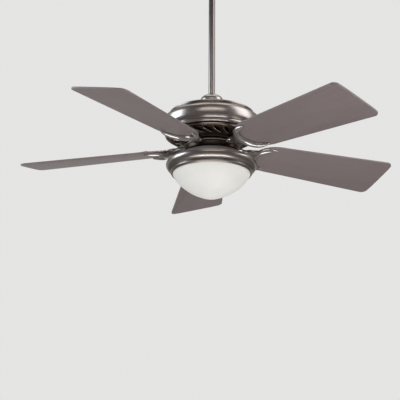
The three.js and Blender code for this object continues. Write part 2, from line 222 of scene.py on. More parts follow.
class Tree:
    """Short hand for building a node material."""

    def __init__(self, name):
        self.m = bpy.data.materials.new(name)
        self.m.use_nodes = True
        self.nt = self.m.node_tree
        self.b = self.nt.nodes["Principled BSDF"]

    def n(self, kind, **props):
        node = self.nt.nodes.new(kind)
        for k, v in props.items():
            if k.startswith("in_"):
                key = k[3:]
                node.inputs[int(key) if key.isdigit() else key.replace("_", " ")].default_value = v
            else:
                setattr(node, k, v)
        return node

    def l(self, a, b):
        self.nt.links.new(a, b)

    def math(self, op, a, b=None, clamp=False):
        m = self.n("ShaderNodeMath", operation=op, use_clamp=clamp)
        for i, v in enumerate((a, b)):
            if v is None:
                continue
            if isinstance(v, (int, float)):
                m.inputs[i].default_value = v
            else:
                self.l(v, m.inputs[i])
        return m.outputs[0]

    def xyz(self, x, y, z):
        c = self.n("ShaderNodeCombineXYZ")
        for i, v in enumerate((x, y, z)):
            if isinstance(v, (int, float)):
                c.inputs[i].default_value = v
            else:
                self.l(v, c.inputs[i])
        return c.outputs[0]

    def coords(self):
        t = self.n("ShaderNodeTexCoord")
        s = self.n("ShaderNodeSeparateXYZ")
        self.l(t.outputs["Object"], s.inputs[0])
        return t.outputs["Object"], s.outputs

    def noise(self, vec, scale, detail=3.0, rough=0.5):
        t = self.n("ShaderNodeTexNoise", in_Scale=scale, in_Detail=detail, in_Roughness=rough)
        self.l(vec, t.inputs["Vector"])
        return t.outputs[0]

    def ramp(self, fac, stops):
        r = self.n("ShaderNodeValToRGB")
        e = r.color_ramp.elements
        while len(e) < len(stops):
            e.new(0.5)
        for i, (p, c) in enumerate(stops):
            e[i].position = p
            e[i].color = (*c, 1) if len(c) == 3 else c
        self.l(fac, r.inputs[0])
        return r.outputs[0]

    def map(self, fac, lo, hi, a=0.0, b=1.0):
        r = self.n("ShaderNodeMapRange")
        self.l(fac, r.inputs[0])
        r.inputs[1].default_value, r.inputs[2].default_value = a, b
        r.inputs[3].default_value, r.inputs[4].default_value = lo, hi
        return r.outputs[0]

    def bump(self, height, strength, dist):
        b = self.n("ShaderNodeBump", in_Strength=strength, in_Distance=dist)
        self.l(height, b.inputs["Height"])
        self.l(b.outputs[0], self.b.inputs["Normal"])

    def set(self, **kw):
        for k, v in kw.items():
            self.b.inputs[k.replace("_", " ")].default_value = v


def grey(v):
    return (v, v, v)


def turned_metal(name, dark, light, rough=(0.24, 0.36), lines=1500, tint=0.55, aniso=0.0, metallic=1.0):
    """Nickel brushed round the axis: fine rings that differ in tone and gloss."""
    t = Tree(name)
    obj, c = t.coords()
    r2 = t.math("ADD", t.math("MULTIPLY", c[0], c[0]), t.math("MULTIPLY", c[1], c[1]))
    r = t.math("SQRT", r2)
    fine = t.noise(t.xyz(r, c[2], 0.0), lines, 2.0, 0.6)
    # the rings fade in and out round the axis
    slow = t.noise(obj, 14.0, 2.0)
    brushed = t.noise(t.xyz(t.math("MULTIPLY", r, 900.0), t.math("MULTIPLY", c[2], 900.0), t.math("MULTIPLY", c[0], 30.0)), 1.0, 2.0)
    mixf = t.math("ADD", t.math("MULTIPLY", fine, 0.55), t.math("ADD", t.math("MULTIPLY", brushed, 0.3), t.math("MULTIPLY", slow, 0.15)))
    t.l(t.ramp(mixf, [(0.3, dark), (0.7, light)]), t.b.inputs["Base Color"])
    t.l(t.map(mixf, rough[0], rough[1], 0.3, 0.7), t.b.inputs["Roughness"])
    t.bump(fine, 0.05, 0.0004)
    t.set(Metallic=metallic)
    t.b.inputs["Specular Tint"].default_value = (tint, tint * 0.97, tint * 0.95, 1)
    if aniso:
        t.b.inputs["Anisotropic"].default_value = aniso
    return t.m


def cast_metal(name, dark, light, rough=(0.2, 0.34), tint=0.6, metallic=1.0):
    """Plated die casting: faint orange peel and cloudy plating."""
    t = Tree(name)
    obj, c = t.coords()
    cloud = t.noise(obj, 55.0, 4.0, 0.6)
    pits = t.noise(obj, 900.0, 2.0, 0.6)
    t.l(t.ramp(cloud, [(0.3, dark), (0.7, light)]), t.b.inputs["Base Color"])
    t.l(t.map(t.math("ADD", t.math("MULTIPLY", cloud, 0.6), t.math("MULTIPLY", pits, 0.4)), rough[0], rough[1], 0.3, 0.7), t.b.inputs["Roughness"])
    t.bump(t.math("ADD", t.math("MULTIPLY", t.noise(obj, 220.0, 2.0), 0.8), t.math("MULTIPLY", pits, 0.2)), 0.12, 0.0006)
    t.set(Metallic=metallic)
    t.b.inputs["Specular Tint"].default_value = (tint, tint * 0.97, tint * 0.95, 1)
    return t.m


def tube_metal(name, dark, light, rough=(0.26, 0.36)):
    """Drawn tube: fine lines along Z."""
    t = Tree(name)
    obj, c = t.coords()
    v = t.xyz(t.math("MULTIPLY", c[0], 1400.0), t.math("MULTIPLY", c[1], 1400.0), t.math("MULTIPLY", c[2], 12.0))
    fine = t.noise(v, 1.0, 3.0, 0.6)
    t.l(t.ramp(fine, [(0.3, dark), (0.7, light)]), t.b.inputs["Base Color"])
    t.l(t.map(fine, rough[0], rough[1], 0.3, 0.7), t.b.inputs["Roughness"])
    t.bump(fine, 0.05, 0.0003)
    t.set(Metallic=1.0)
    t.b.inputs["Specular Tint"].default_value = (0.6, 0.58, 0.57, 1)
    return t.m


def blade_laminate(name, dark, light):
    """Satin silver laminate: fine lengthwise grain under a clear satin coat, with metallic flecks."""
    t = Tree(name)
    obj, c = t.coords()
    v = t.xyz(t.math("MULTIPLY", c[0], 9.0), t.math("MULTIPLY", c[1], 260.0), t.math("MULTIPLY", c[2], 260.0))
    grain = t.noise(v, 1.0, 5.0, 0.62)
    warp = t.noise(t.xyz(t.math("MULTIPLY", c[0], 3.0), t.math("MULTIPLY", c[1], 22.0), 0.0), 1.0, 3.0)
    fleck = t.noise(obj, 2600.0, 1.0)
    f = t.math("ADD", t.math("MULTIPLY", grain, 0.55), t.math("ADD", t.math("MULTIPLY", warp, 0.3), t.math("MULTIPLY", fleck, 0.15)))
    t.l(t.ramp(f, [(0.32, dark), (0.68, light)]), t.b.inputs["Base Color"])
    t.l(t.map(f, 0.46, 0.6, 0.3, 0.7), t.b.inputs["Roughness"])
    t.bump(t.math("ADD", t.math("MULTIPLY", grain, 0.7), t.math("MULTIPLY", fleck, 0.3)), 0.035, 0.0002)
    t.set(Metallic=0.25, Coat_Weight=0.12, Coat_Roughness=0.35)
    return t.m


def opal_glass(name):
    """Milky cased glass with a painted glow from inside: cloudy white with a polished skin."""
    t = Tree(name)
    obj, c = t.coords()
    cloud = t.noise(obj, 16.0, 4.0, 0.55)
    seed = t.noise(obj, 420.0, 2.0, 0.5)
    f = t.math("ADD", t.math("MULTIPLY", cloud, 0.8), t.math("MULTIPLY", seed, 0.2))
    t.l(t.ramp(f, [(0.3, (0.52, 0.525, 0.51)), (0.7, (0.57, 0.575, 0.56))]), t.b.inputs["Base Color"])
    # painted glow: the emission stands in for the bulbs' light through the glass, brighter towards the bottom and warm
    # near the rim
    glow = t.math("ADD", t.map(c[2], 1.0, 0.0, -0.764, -0.688), t.math("MULTIPLY", f, 0.12))
    t.l(t.ramp(glow, [(0.0, (0.60, 0.55, 0.43)), (0.45, (0.50, 0.47, 0.40)), (1.0, (0.72, 0.68, 0.57))]), t.b.inputs["Emission Color"])
    t.l(t.map(f, 0.44, 0.52, 0.3, 0.7), t.b.inputs["Roughness"])
    t.bump(cloud, 0.04, 0.001)
    t.set(Emission_Strength=0.26, Coat_Weight=0.0, Coat_Roughness=0.25, IOR=1.4)
    return t.m


def plain_metal(name, dark, light, rough=(0.35, 0.5), scale=140.0, metallic=1.0):
    """Zinc plate, bare steel, brass: spangle and handling marks."""
    t = Tree(name)
    obj, c = t.coords()
    v = t.n("ShaderNodeTexVoronoi", in_Scale=scale)
    t.l(obj, v.inputs["Vector"])
    nz = t.noise(obj, scale * 3, 3.0, 0.6)
    f = t.math("ADD", t.math("MULTIPLY", v.outputs[0], 0.45), t.math("MULTIPLY", nz, 0.55))
    t.l(t.ramp(f, [(0.25, dark), (0.75, light)]), t.b.inputs["Base Color"])
    t.l(t.map(f, rough[0], rough[1], 0.25, 0.75), t.b.inputs["Roughness"])
    t.bump(nz, 0.08, 0.0004)
    t.set(Metallic=metallic)
    return t.m


def moulded(name, dark, light, rough=(0.42, 0.6), scale=700.0, coat=0.0):
    """Moulded plastic, rubber or glazed ceramic: fine pebble."""
    t = Tree(name)
    obj, c = t.coords()
    a = t.noise(obj, scale, 2.0, 0.6)
    b = t.noise(obj, 30.0, 3.0)
    f = t.math("ADD", t.math("MULTIPLY", a, 0.6), t.math("MULTIPLY", b, 0.4))
    t.l(t.ramp(f, [(0.3, dark), (0.7, light)]), t.b.inputs["Base Color"])
    t.l(t.map(f, rough[0], rough[1], 0.3, 0.7), t.b.inputs["Roughness"])
    t.bump(a, 0.15, 0.0003)
    t.set(Metallic=0.0, Coat_Weight=coat)
    return t.m


def laminations(name):
    """A stack of electrical steel sheets, seen edge-on."""
    t = Tree(name)
    obj, c = t.coords()
    w = t.noise(t.xyz(0.0, 0.0, c[2]), 2200.0, 1.0)
    n = t.noise(obj, 300.0, 3.0)
    f = t.math("ADD", t.math("MULTIPLY", w, 0.7), t.math("MULTIPLY", n, 0.3))
    t.l(t.ramp(f, [(0.3, (0.05, 0.045, 0.042)), (0.7, (0.2, 0.19, 0.18))]), t.b.inputs["Base Color"])
    t.l(t.map(f, 0.4, 0.62, 0.3, 0.7), t.b.inputs["Roughness"])
    t.bump(w, 0.4, 0.0004)
    t.set(Metallic=0.8)
    return t.m


NICKEL = turned_metal("nickel_turned", (0.315, 0.278, 0.256), (0.42, 0.378, 0.352), rough=(0.25, 0.35))
ROD = tube_metal("nickel_tube", (0.19, 0.168, 0.156), (0.255, 0.23, 0.216))
# the arms' plated casting, lighter and less metallic than the nickel: painted light, so the arms read brighter out of
# their shade
ARM_LIT = cast_metal("nickel_cast_painted_light", (0.36, 0.33, 0.315), (0.48, 0.445, 0.43), rough=(0.12, 0.22), metallic=0.8)
# a lighter, half-metallic copy of the nickel for the pan's top and the feet's lips: painted light, so these faces read
# lighter than the plain nickel
SATIN_LIT = turned_metal("nickel_satin_top", (0.36, 0.33, 0.31), (0.46, 0.42, 0.395), rough=(0.34, 0.44), metallic=0.5)
# a darker copy of the nickel for the vent rim: painted shade that dims the highlight on its lower edge
RIM_SHADED = turned_metal("nickel_rim_painted_shade", (0.17, 0.14, 0.125), (0.24, 0.20, 0.18), rough=(0.2, 0.3))
SCREW = cast_metal("nickel_screw", (0.36, 0.33, 0.31), (0.5, 0.46, 0.43), rough=(0.22, 0.32))
CONE = turned_metal("nickel_dark_turned", (0.11, 0.072, 0.048), (0.17, 0.115, 0.08), rough=(0.24, 0.38))
BLADE = blade_laminate("blade_silver_laminate", (0.172, 0.138, 0.136), (0.226, 0.184, 0.182))
OPAL = opal_glass("opal_glass_lit")
ZINC = plain_metal("zinc_plated", (0.32, 0.33, 0.34), (0.55, 0.56, 0.57))
STEELDARK = plain_metal("rotor_steel", (0.018, 0.017, 0.016), (0.045, 0.042, 0.04), rough=(0.45, 0.62), metallic=0.6)
BRASSM = plain_metal("brass", (0.5, 0.33, 0.12), (0.66, 0.46, 0.2), rough=(0.25, 0.4), scale=90.0)
BLACKP = moulded("black_plastic", (0.010, 0.010, 0.010), (0.022, 0.021, 0.021))
PORCELAIN = moulded("porcelain", (0.74, 0.72, 0.66), (0.82, 0.80, 0.75), rough=(0.12, 0.22), scale=160.0, coat=0.4)
FROST = moulded("bulb_frosted", (0.80, 0.78, 0.72), (0.88, 0.87, 0.82), rough=(0.3, 0.45), scale=500.0)
LAMS = laminations("laminations")
# the feet: dark bronze like the cone, darkened further as painted shade that stands in for shadow and a dim reflection
FOOT_SHADED = turned_metal("foot_bronze_painted_shade", (0.03, 0.021, 0.015), (0.052, 0.038, 0.029), rough=(0.26, 0.38))
# near-black inner faces of the housing: painted shade, so the vent slots read black
INSIDE_SHADE = plain_metal("inside_painted_shade", (0.012, 0.011, 0.010), (0.03, 0.028, 0.026), rough=(0.55, 0.7), metallic=0.3)
WHITE_IN = moulded("white_reflector_paint", (0.66, 0.66, 0.64), (0.74, 0.74, 0.72), rough=(0.4, 0.55))


def dress(o, *mats):
    """Gives the object its materials; the second one is for its unseen inner faces."""
    index = [p.material_index for p in o.data.polygons]
    o.data.materials.clear()
    for m in mats:
        o.data.materials.append(m)
    if len(mats) > 1:
        o.data.polygons.foreach_set("material_index", index)
    return o


def piece(o, body, mat, slot, *nodes):
    dress(o, *(mat if isinstance(mat, tuple) else (mat,)))
    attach(o, body)
    if nodes:
        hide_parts(*nodes)
    return o


# ===================================================== camera, floor, lights
# the lens, place and aim of the picture's camera
A, PSI, ROLL = 0.2995, 0.0106, 0.0062
fwd = Vector((-math.sin(PSI) * math.cos(A), math.cos(PSI) * math.cos(A), math.sin(A)))
right = Vector((math.cos(PSI), math.sin(PSI), 0))
up = right.cross(fwd)
r2, u2 = math.cos(ROLL) * right + math.sin(ROLL) * up, -math.sin(ROLL) * right + math.cos(ROLL) * up
cam = bpy.data.objects.new("camera", bpy.data.cameras.new("camera"))
cam.data.lens = 36 * 1076.68 / 400
cam.data.sensor_width = 36
cam.data.shift_x = -0.00125
cam.data.shift_y = 0.00125
cam.data.clip_start, cam.data.clip_end = 0.05, 100
cam.matrix_world = Matrix.Translation((0, -2.90923, -DROP * MM - 1.05144)) @ Matrix((r2, u2, -fwd)).transposed().to_4x4()
scene.collection.objects.link(cam)
scene.camera = cam

scene.view_settings.view_transform = "Standard"

world = bpy.data.worlds.new("studio")
scene.world = world
world.use_nodes = True
wn, wl = world.node_tree.nodes, world.node_tree.links
bg = wn["Background"]
tc, sx, mr, mix = wn.new("ShaderNodeTexCoord"), wn.new("ShaderNodeSeparateXYZ"), wn.new("ShaderNodeMapRange"), wn.new("ShaderNodeValToRGB")
wl.new(tc.outputs["Generated"], sx.inputs[0])
wl.new(sx.outputs[1], mr.inputs[0])
mr.inputs[1].default_value, mr.inputs[2].default_value = -0.6, 0.9
wl.new(mr.outputs[0], mix.inputs[0])
e = mix.color_ramp.elements
e[0].position, e[0].color = 0.0, (0.12, 0.115, 0.11, 1)
e[1].position, e[1].color = 0.97, (0.78, 0.78, 0.775, 1)
m_ = mix.color_ramp.elements.new(0.62)
m_.color = (0.24, 0.235, 0.23, 1)
# the backdrop itself is the same pale grey on every side; the gradient only lights the fan
lp, pale = wn.new("ShaderNodeLightPath"), wn.new("ShaderNodeMix")
pale.data_type = "RGBA"
pale.inputs[7].default_value = (0.78, 0.78, 0.775, 1)
wl.new(lp.outputs["Is Camera Ray"], pale.inputs[0])
wl.new(mix.outputs[0], pale.inputs[6])
wl.new(pale.outputs[2], bg.inputs[0])
bg.inputs[1].default_value = 1.0

bm = bmesh.new()
bmesh.ops.create_grid(bm, x_segments=4, y_segments=4, size=30)
floor = link(finish_mesh(bm, "floor"), "floor")
floor.location = (0, 0, -5.4)
ft = Tree("floor_paint")
fo, _ = ft.coords()
ft.l(ft.ramp(ft.noise(fo, 0.8, 3.0), [(0.3, (0.48, 0.48, 0.475)), (0.7, (0.51, 0.51, 0.505))]), ft.b.inputs["Base Color"])
ft.set(Roughness=0.9)
dress(floor, ft.m)
# a pale card just above the floor: what a camera above the fan sees, and nothing else does
card = link(floor.data.copy(), "floor_card")
card.location = (0, 0, -5.38)
ct = Tree("floor_card_paint")
co, _ = ct.coords()
ct.l(ct.ramp(ct.noise(co, 0.8, 3.0), [(0.3, (0.70, 0.70, 0.695)), (0.7, (0.72, 0.72, 0.715))]), ct.b.inputs["Emission Color"])
ct.b.inputs["Base Color"].default_value = (0.02, 0.02, 0.02, 1)
ct.set(Roughness=1.0, Emission_Strength=1.0)
dress(card, ct.m)
card.visible_diffuse = card.visible_glossy = card.visible_transmission = card.visible_volume_scatter = card.visible_shadow = False


def area(name, at, aim, size, power, colour=(1, 1, 1), size_y=None):
    d = bpy.data.lights.new(name, "AREA")
    d.energy, d.color, d.size = power, colour, size
    if size_y:
        d.shape, d.size_y = "RECTANGLE", size_y
    o = bpy.data.objects.new(name, d)
    scene.collection.objects.link(o)
    at, aim = Vector(at), Vector(aim)
    o.location = at
    o.rotation_mode = "QUATERNION"
    o.rotation_quaternion = (aim - at).to_track_quat("-Z", "Y")
    o.visible_camera = False
    return o


C = Vector((0, 0, -0.58))
area("softbox_left", (-2.95, -0.25, 0.05), C, 1.7, 56, (0.80, 0.90, 1.0), 1.7)
area("softbox_right", (2.95, -0.7, 0.75), C, 2.2, 66, (0.95, 0.96, 1.0), 3.0)
area("front_high", (0.0, -4.5, 0.45), C, 4.4, 34, (1.0, 0.97, 0.94), 0.6)
area("front_mid", (0.0, -2.0, -4.3), C, 4.0, 24, (1.0, 0.97, 0.97), 0.5)
area("front_low", (0.05, -0.85, -4.5), C, 4.6, 80, (0.96, 0.96, 1.0), 0.9)
area("top_fill", (0.0, 0.2, 3.2), C, 4.0, 80, (1, 0.985, 0.97))
area("soft_fill", (0.7, -3.4, -2.7), C, 2.6, 75, (1.0, 0.96, 0.93)).visible_glossy = False

# ------------------------------------------------------------------- canopy
o = lathe("canopy_shell", rounded([
    (66.2, -0.6, 0), (68.4, -0.6, 0.8), (68.4, -3.4, 1.0), (67.6, -4.6, 0.5), (67.8, -8, 0), (67.9, -20, 12), (66.2, -38, 16), (60, -57, 16),
    (47, -72.6, 16), (33, -79.6, 4), (31, -81.6, 1.2), (24.4, -81.6, 0.8), (24.4, -79.9, 0.5), (29, -79.9, 2), (45.6, -71.0, 14),
    (58.4, -56, 14), (64.6, -38, 14), (66.3, -20, 8)], closed=True, n=8), 96, z=0)
boolean_cut(o, [cyl(2.45, -90, 90, "X", (0, 0, -10), z=0, seg=20)])
piece(o, "root", NICKEL, "nickel", "canopy")


def screw_bm(bm, head_r, head_h, shank_r, length, hat=0.35):
    """A pan head screw on +Z with a cross recess; z = 0 is under the head."""
    prof = [(0, -length), (shank_r * 0.55, -length + 0.2), (shank_r, -length + 1.4), (shank_r, -0.01)]
    prof += [(head_r, 0), (head_r, head_h * 0.35)]
    for i in range(1, 11):
        t = i / 10
        prof.append((head_r * (1 - t) if t < 1 else 0, head_h * (0.35 + 0.65 * math.sin(math.acos(max(0, 1 - t)) * 1.0))))
    seg = 40
    base = len(bm.verts)
    lathe_bm(bm, prof, seg, closed=False)
    bm.verts.ensure_lookup_table()
    for v in bm.verts[base:]:
        x, y, z = v.co / MM
        if z > head_h * 0.36:
            w = head_r * 0.15
            if (abs(x) < w and abs(y) < head_r * 0.55) or (abs(y) < w and abs(x) < head_r * 0.55):
                v.co.z = (head_h * 0.42) * MM
    return bm


def screw(name, head_r, head_h, shank_r, length, matrix):
    bm = bmesh.new()
    screw_bm(bm, head_r, head_h, shank_r, length)
    return link(finish_mesh(bm, name, 30), name, matrix)


for k, sx_ in ((1, 1), (2, -1)):
    M = Matrix.Translation((sx_ * 68.4 * MM, 0, -10 * MM)) @ Matrix.Rotation(rad(90) * sx_, 4, "Y")
    piece(screw(f"canopy_screw_head_{k}", 5.0, 2.9, 2.05, 13.4, M), "root", SCREW, "nickel", f"canopy_screw_{k}")

# ------------------------------------------------------- hanger ball and rod
BZ = -41.2
arc = [(30 * math.cos(rad(-70.5 + 141 * i / 24)), BZ + 30 * math.sin(rad(-70.5 + 141 * i / 24))) for i in range(25)]
o = lathe("hanger_ball_shell", [*arc, (9.875, BZ + 28.28), (9.875, BZ - 28.28)], 72, z=0)
boolean_cut(o, [cyl(3.4, -40, 40, "Y", (0, 0, BZ + 10), z=0)])
piece(o, "hanging", BLACKP, "black_plastic", "hanger_ball")
RT, RB = 594.8, 137.8
o = lathe("downrod_tube", rounded([(7.725, RB, 0.4), (9.525, RB, 0.5), (9.525, RT, 0.5), (7.725, RT, 0.4)], closed=True), 72)
boolean_cut(o, [cyl(3.4, -20, 20, "Y", (0, 0, BZ + 10 + DROP)), cyl(3.4, -20, 20, "X", (0, 0, RB + 12))])
piece(o, "hanging", ROD, "nickel", "downrod")

# ------------------------------------------------------------ coupling cover
o = lathe("coupling_cover_dome", [
    *rounded([(31.8, 142.4, 0), (33.6, 142.4, 0.6), (33.7, 144.2, 0.6), (33.2, 145.2, 0.3)]),
    *spline([(33.3, 146), (33.3, 149.5), (32.2, 154), (29, 159), (23, 163.4), (16.5, 166.3), (13.4, 167.3)], 5),
    *rounded([(12.9, 167.5, 0.3), (12.7, 169.0, 0.4), (10.25, 169.2, 0.3), (10.2, 166.4, 0.3), (15.8, 165.0, 2), (22, 162, 4),
              (27.6, 157.8, 4), (30.8, 153, 4), (31.8, 148, 3)])], 96)
piece(o, "cover", NICKEL, "nickel", "coupling_cover")

# ------------------------------------------------------------- motor housing
outer = [
    *rounded([(24, 142.0, 0), (35.4, 142.0, 0.8), (36.4, 140.8, 0.8), (38.4, 140.2, 0.8)]),
    *spline([(40, 139.3), (50, 135.2), (60, 131.0), (72, 126.0), (85, 120.6), (100, 114.4), (110, 110.1), (115, 107.6)], 4),
    *rounded([(116.2, 106.9, 0), (118.2, 106.7, 0.8), (121.4, 106.9, 1.6), (123.7, 105.1, 1.5), (123.7, 102.6, 1.4), (121.4, 100.6, 0.9), (120.5, 99.4, 0.7), (121.0, 98.2, 0.6)]),
    *spline([(122.2, 97.5), (125.4, 95.9), (130.2, 93.4), (134.6, 90.8), (138.6, 87.6), (141.3, 84.6), (142.9, 79.6), (143.5, 74.2), (143.3, 68.4), (142.4, 62.4), (140.8, 56.8), (138.2, 52.4), (135.8, 49.4)], 5),
    *rounded([(135.2, 48.7, 0), (133.6, 48.2, 0.4), (133.3, 47.0, 0.5), (134.4, 45.8, 0.8), (134.9, 43.2, 1.6), (133.9, 40.0, 1.6), (131.2, 38.2, 1.4), (125.6, 38.2, 0.5)]),
]
inner = rounded([
    (125.6, 40.2, 0), (130.8, 40.6, 1), (132.2, 46.6, 1), (136.2, 51.4, 3), (140.2, 62, 6), (141.4, 74, 6), (139.2, 83, 5), (132.4, 89.4, 5),
    (118.4, 96.4, 1), (118.4, 101.2, 1), (115.6, 105.4, 2), (109, 108.2, 8), (59.6, 128.8, 10), (35, 139.0, 2), (24, 140.0, 0)])
# the housing's inner faces take the near-black painted-shade material
piece(lathe("motor_housing_shell", outer + inner, 144, inner_from=len(outer) - 1), "hanging", (NICKEL, INSIDE_SHADE), "nickel", "motor_housing")

# ------------------------------------------- vented lower housing and its fins
N_V = 24
R0, R1 = 111.0, 89.4            # a slot's outer and inner end


def swirl(r):
    t = (R0 - r) / 20.6
    return -10.9 + 11 * t + 2 * t * t


def slot_half(t):
    return 7.2 * math.sin(math.pi * min(1, max(0, t)) ** 0.7) ** 0.75 * (1 - 0.4 * t)


def vented():
    """A turned cone whose slots are bounded by lens-shaped edges; each slot has one edge pressed out as a fin."""
    bm = bmesh.new()
    top, bot = (116.2, 33.6), (78.2, 13.8)
    slope = (top[1] - bot[1]) / (top[0] - bot[0])
    rows = [116.2, 115.4, 114.4]
    K = 15
    rows += [R0 - (R0 - R1) * (0.5 - 0.5 * math.cos(math.pi * i / K)) for i in range(K + 1)]
    rows += [86.6, 84.2, 81.6, 79.6, 78.2]
    step = 360.0 / N_V
    left = [0.0, 0.3, 0.5, 0.64, 0.76, 0.88, 1.0]
    cols_slot = 3
    grids = []
    for skin in (0, 1):
        g = []
        for r in rows:
            t = (R0 - r) / (R0 - R1)
            inside = 0 < t < 1
            h = max(0.25, slot_half(t)) if inside else 0.25
            dh = h / r * 180 / math.pi
            row = []
            for s in range(N_V):
                c = s * step + swirl(min(R0, max(R1, r)))
                us = [(-step / 2 + (step / 2 - dh) * q) for q in left]
                us += [-dh + 2 * dh * (q + 1) / cols_slot for q in range(cols_slot)]
                us += [dh + (step / 2 - dh) * (1 - q) for q in left[::-1][1:-1]]
                for i, u in enumerate(us):
                    a = rad(c + u)
                    z = bot[1] + slope * (r - bot[0])
                    if inside:
                        w = math.sin(math.pi * t) ** 0.8
                        near = max(0.0, 1 - (u - dh) / (step * 0.09)) if u >= dh - 1e-6 else 0
                        far = max(0.0, 1 - (-dh - u) / (step * 0.09)) if u <= -dh + 1e-6 else 0
                        z += 1.3 * w * near ** 1.3
                        z -= 2.0 * w * far ** 1.3
                    z += skin * 1.6
                    row.append(bm.verts.new(Vector((r * math.cos(a), r * math.sin(a), z - DROP)) * MM))
            g.append(row)
        grids.append(g)
    per = len(grids[0][0]) // N_V
    hole = set(range(len(left) - 1, len(left) - 1 + cols_slot))
    nr, nc = len(rows), len(grids[0][0])

    def is_hole(i, j):
        t0, t1 = (R0 - rows[i]) / (R0 - R1), (R0 - rows[i + 1]) / (R0 - R1)
        return (j % per) in hole and t0 >= -1e-6 and t1 <= 1 + 1e-6

    for i in range(nr - 1):
        for j in range(nc):
            k = (j + 1) % nc
            if is_hole(i, j):
                # walls of the slot, where the neighbouring cell is solid
                for (ii, jj, e0, e1) in ((i, (j - 1) % nc, (i, j), (i + 1, j)), (i, k, (i, k), (i + 1, k))):
                    if not is_hole(ii, jj):
                        bm.faces.new((grids[0][e0[0]][e0[1]], grids[0][e1[0]][e1[1]], grids[1][e1[0]][e1[1]], grids[1][e0[0]][e0[1]]))
                if i == 0 or not is_hole(i - 1, j):
                    bm.faces.new((grids[0][i][j], grids[0][i][k], grids[1][i][k], grids[1][i][j]))
                if i + 1 >= nr - 1 or not is_hole(i + 1, j):
                    bm.faces.new((grids[0][i + 1][j], grids[0][i + 1][k], grids[1][i + 1][k], grids[1][i + 1][j]))
                continue
            for g in grids:
                bm.faces.new((g[i][j], g[i + 1][j], g[i + 1][k], g[i][k]))
    # close the inner and outer edges
    for i in (0, nr - 1):
        for j in range(nc):
            k = (j + 1) % nc
            bm.faces.new((grids[0][i][j], grids[0][i][k], grids[1][i][k], grids[1][i][j]))
    return bm


bm = vented()
piece(link(finish_mesh(bm, "vent_cone", 34, 2e-6), "vent_cone"), "hanging", CONE, "nickel_dark", "vented_lower_housing")
def fin_beads():
    """A rolled bead along the lower edge of every slot; its bright nickel against the dark cone is a painted highlight
    line.
    """
    bm = bmesh.new()
    top, bot = (116.2, 33.6), (78.2, 13.8)
    slope = (top[1] - bot[1]) / (top[0] - bot[0])
    for s_ in range(N_V):
        rings = []
        K = 16
        pts = []
        for i in range(K + 1):
            t = 0.1 + 0.86 * i / K
            r = R0 - (R0 - R1) * t
            dh = slot_half(t) / r * 180 / math.pi
            a = rad(s_ * 360 / N_V + swirl(r) - dh)
            z = bot[1] + slope * (r - bot[0]) - 2.0 * math.sin(math.pi * t) ** 0.8 - 0.1
            pts.append(Vector((r * math.cos(a), r * math.sin(a), z - DROP)))
        for i, p in enumerate(pts):
            d = (pts[min(K, i + 1)] - pts[max(0, i - 1)]).normalized()
            side = d.cross(Vector((0, 0, 1))).normalized()
            upv = side.cross(d)
            w = 0.85 * math.sin(math.pi * (0.04 + 0.92 * i / K)) ** 0.5
            rings.append([p + side * w * math.cos(q * math.pi / 4) + upv * w * math.sin(q * math.pi / 4) for q in range(8)])
        tube_bm(bm, rings)
    return bm


def tube_bm(bm, path, close=True):
    """Skins rings. path: rings of points in mm."""
    rings = [[bm.verts.new(Vector(p) * MM) for p in ring] for ring in path]
    for A_, B_ in zip(rings[:-1], rings[1:]):
        for j in range(len(A_)):
            k = (j + 1) % len(A_)
            bm.faces.new((A_[j], A_[k], B_[k], B_[j]))
    if close:
        bm.faces.new(rings[0][::-1])
        bm.faces.new(rings[-1])
    return bm


# the beads wear the lighter painted-light nickel: a painted highlight along each slot's lower edge
piece(link(finish_mesh(fin_beads(), "vent_beads_painted_highlight", 60), "vent_beads_painted_highlight"), "hanging", ARM_LIT, "nickel")
# the rim wears the darker painted-shade copy of the nickel
o = lathe("vent_rim", rounded([
    (119.4, 44.8, 0.4), (129, 44.8, 0.5), (129, 42.9, 0.5), (123.6, 42.8, 1.0), (122.4, 40.4, 1.0), (122.3, 34.2, 1.5), (120.6, 31.7, 1.3), (117.6, 31.5, 1.2),
    (116.0, 33.0, 0.8), (116.2, 35.4, 0.3), (117.8, 36.6, 0.6)], closed=True), 128)
piece(o, "hanging", RIM_SHADED, "nickel")
o = lathe("vent_hub_ring", rounded([(76.0, 14.6, 0.6), (76.4, 13.1, 0.8), (78.8, 12.9, 0.9), (80.0, 14.6, 0.6), (78.9, 15.6, 0.3), (77.0, 16.6, 0.4)], closed=True), 112)
piece(o, "hanging", CONE, "nickel_dark")

# ------------------------------------------------------------------- blades
PITCH, DROOP, PHASE = 13.4, 1.6, 5.17
TIP_U, ROOT_U, NECK_U, TIP_R = 555.0, 131.0, 212.0, 17.0


def half_chord(u):
    return 74.9 + 0.0612 * (u - 350)


def blade_outline():
    lo = []
    hv = half_chord(NECK_U)
    n = 2.35
    for i in range(25):
        t = i / 24 * math.pi / 2
        lo.append((NECK_U - (NECK_U - ROOT_U) * math.cos(t) ** (2 / n), -hv * math.sin(t) ** (2 / n)))
    for i in range(1, 12):
        u = NECK_U + (TIP_U - TIP_R - NECK_U) * i / 12
        lo.append((u, -half_chord(u)))
    ht = half_chord(TIP_U - TIP_R)
    for i in range(10):
        t = rad(-90 + 87 * i / 9)
        lo.append((TIP_U - TIP_R + TIP_R * math.cos(t), -(ht - TIP_R) + TIP_R * math.sin(t)))
    for v in (-52, -35, -17):
        lo.append((TIP_U + 1.5 - 0.5 * (v / 60) ** 2, v))
    hi = [(u, -v) for u, v in lo[1:]][::-1]
    return lo + [(TIP_U + 1.5, 0)] + hi


def spin_matrix(k):
    return Matrix.Translation((0, 0, -DROP * MM)) @ Matrix.Rotation(rad(90 + PHASE + 72 * (k - 1)), 4, "Z")


